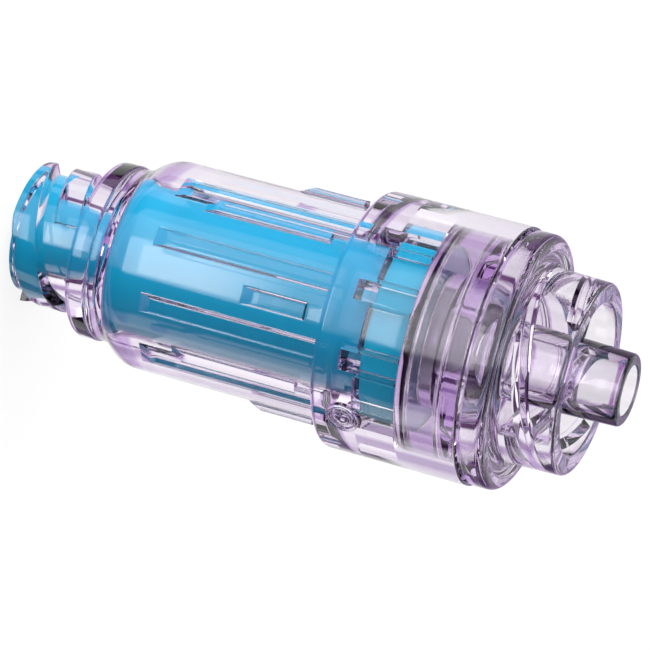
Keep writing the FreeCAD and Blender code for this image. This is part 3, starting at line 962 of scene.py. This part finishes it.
def add_floor():
    """A white floor that catches the part's shadow."""
    bm = bmesh.new()
    bmesh.ops.create_grid(bm, x_segments=1, y_segments=1, size=FLOOR_SIZE)
    floor = working_object("floor", bm)
    material, tree, shader = new_material("pale_floor", {
        "Base Color": (0.9, 0.9, 0.9, 1), "Roughness": 0.9})
    glow = add_node(tree, "Emission", {"Strength": 1.0})
    seen = add_node(tree, "LightPath").outputs["Is Camera Ray"]
    share = add_node(tree, "Math", {0: seen, 1: FLOOR_GLOW}, operation="MULTIPLY")
    mix = add_node(tree, "MixShader", {
        "Fac": share.outputs["Value"], 1: shader.outputs["BSDF"], 2: glow.outputs["Emission"]})
    tree.links.new(mix.outputs["Shader"], tree.nodes["Material Output"].inputs["Surface"])
    floor.data.materials.append(material)
    floor.visible_glossy = False
    floor.visible_transmission = False


def add_ramp(tree, value, stops):
    """A colour ramp with stops of (position, colour)."""
    node = add_node(tree, "ValToRGB", {"Fac": value})
    elements = node.color_ramp.elements
    while len(elements) < len(stops):
        elements.new(0.5)
    for element, (position, _) in zip(elements, stops):
        element.position = position
    for element, (_, colour) in zip(elements, stops):
        element.color = (*colour, 1)
    return node.outputs["Color"]


def strip_share(tree, value, limits):
    """One between two limits and nothing outside them, with soft ends."""
    low, high = limits
    return add_ramp(tree, value, [
        (low - STRIP_SOFT, BLACK), (low, WHITE), (high, WHITE), (high + STRIP_SOFT, BLACK)])


def studio_light(tree, place, sides):
    """The panels and the strip light that glossy and clear surfaces see."""
    angle = add_node(tree, "Math", {0: sides[0], 1: sides[1]}, operation="ARCTAN2")
    turn = add_node(tree, "MapRange", {
        "From Min": -math.pi, "From Max": math.pi, "Value": angle.outputs["Value"]})
    turn = turn.outputs["Result"]
    panels = add_ramp(tree, turn, [
        ((degrees + 180) / 360, [level * part / BRIGHTEST for part in colour])
        for degrees, colour, level in STUDIO_PANELS
    ])
    split = add_node(tree, "SeparateXYZ", {"Vector": place})
    height = add_node(tree, "MapRange", {"From Min": -1.0, "Value": split.outputs["Z"]})
    height = height.outputs["Result"]
    ends = add_ramp(tree, height, [
        (position, [level * part for part in colour]) for position, colour, level in END_PANELS
    ])
    dimmed = add_node(
        tree, "Mix", {"Factor": 1.0, "A": panels, "B": ends},
        data_type="RGBA", blend_type="MULTIPLY")
    across = strip_share(tree, turn, [(edge + 180) / 360 for edge in STRIP_EDGES])
    along = strip_share(tree, height, [(end + 1) / 2 for end in STRIP_ENDS])
    strip = add_node(tree, "Math", {0: across, 1: along}, operation="MULTIPLY")
    lit = add_node(
        tree, "Mix", {
            "B": (STRIP_LEVEL / BRIGHTEST,) * 3 + (1,),
            "Factor": strip.outputs["Value"],
            "A": dimmed.outputs["Result"],
        }, data_type="RGBA", blend_type="ADD", clamp_result=False)
    return add_node(tree, "Background", {
        "Strength": BRIGHTEST, "Color": lit.outputs["Result"]})


def plain_light(tree, upward, seen):
    """White for the camera, and for diffuse rays a soft light that grows towards one side."""
    soft = add_node(tree, "MapRange", {
        "From Min": SOFT_LIGHT_START, "To Min": SOFT_LIGHT[0], "To Max": SOFT_LIGHT[1],
        "Value": upward})
    backdrop = add_node(tree, "Mix", {"B": 1.0, "Factor": seen, "A": soft.outputs["Result"]})
    return add_node(tree, "Background", {"Strength": backdrop.outputs["Result"]})


def add_world(context):
    world = bpy.data.worlds.new("studio")
    world.use_nodes = True
    context.scene.world = world
    tree = world.node_tree
    tree.nodes.clear()
    place = add_node(tree, "TexCoord").outputs["Generated"]
    sides = [
        add_node(tree, "VectorMath", {0: place, 1: direction}, operation="DOT_PRODUCT")
        .outputs["Value"]
        for direction in (PICTURE_UP, TOWARDS_CAMERA)
    ]
    light_path = add_node(tree, "LightPath").outputs
    seen = light_path["Is Camera Ray"]
    not_diffuse = add_node(
        tree, "Math", {0: light_path["Diffuse Depth"], 1: 0.5}, operation="LESS_THAN")
    not_seen = add_node(tree, "Math", {0: 1.0, 1: seen}, operation="SUBTRACT")
    both = add_node(
        tree, "Math", {0: not_diffuse.outputs["Value"], 1: not_seen.outputs["Value"]},
        operation="MULTIPLY")
    mix = add_node(tree, "MixShader", {
        "Fac": both.outputs["Value"],
        1: plain_light(tree, sides[0], seen).outputs["Background"],
        2: studio_light(tree, place, sides).outputs["Background"],
    })
    add_node(tree, "OutputWorld", {"Surface": mix.outputs["Shader"]})


def add_lamp(context, name, place, size, power):
    data = bpy.data.lights.new(name, "AREA")
    data.size = size
    data.energy = power
    lamp = bpy.data.objects.new(name, data)
    aim = (-place).to_track_quat("-Z", "Y").to_matrix().to_4x4()
    lamp.matrix_world = Matrix.Translation(place) @ aim
    lamp.visible_camera = False
    lamp.visible_glossy = False
    lamp.visible_transmission = False
    context.scene.collection.objects.link(lamp)


class CONNECTOR_OT_stage(bpy.types.Operator):
    """Set up the camera, the floor and the soft light"""

    bl_idname = "connector.stage"
    bl_label = "Stage"

    def execute(self, context):
        add_camera(context)
        add_floor()
        add_world(context)
        add_lamp(context, "soft_lamp", LAMP_PLACE, LAMP_SIZE, LAMP_POWER)
        context.scene.cycles.max_bounces = LIGHT_BOUNCES
        context.scene.cycles.transmission_bounces = LIGHT_BOUNCES
        context.scene.view_settings.view_transform = "Standard"
        return {"FINISHED"}


class CONNECTOR_PT_panel(bpy.types.Panel):
    bl_label = "Needle Free Connector"
    bl_idname = "CONNECTOR_PT_panel"
    bl_space_type = "VIEW_3D"
    bl_region_type = "UI"
    bl_category = "Connector"

    def draw(self, context):
        layout = self.layout
        for group in (context.scene.connector_sizes, context.scene.connector_colours):
            column = layout.column()
            for name in group.__annotations__:
                column.prop(group, name)
        for operator in OPERATORS:
            layout.operator(operator.bl_idname)


OPERATORS = (
    CONNECTOR_OT_housing,
    CONNECTOR_OT_seal,
    CONNECTOR_OT_inner_pieces,
    CONNECTOR_OT_base,
    CONNECTOR_OT_stage,
)
CLASSES = (ConnectorSizes, ConnectorColours, *OPERATORS, CONNECTOR_PT_panel)


def register():
    for item in CLASSES:
        bpy.utils.register_class(item)
    bpy.types.Scene.connector_sizes = bpy.props.PointerProperty(type=ConnectorSizes)
    bpy.types.Scene.connector_colours = bpy.props.PointerProperty(type=ConnectorColours)


def unregister():
    del bpy.types.Scene.connector_colours
    del bpy.types.Scene.connector_sizes
    for item in reversed(CLASSES):
        bpy.utils.unregister_class(item)


def main():
    register()
    bpy.ops.connector.housing()
    bpy.ops.connector.seal()
    bpy.ops.connector.inner_pieces()
    bpy.ops.connector.base()
    bpy.ops.connector.stage()


if __name__ == "__main__":
    main()
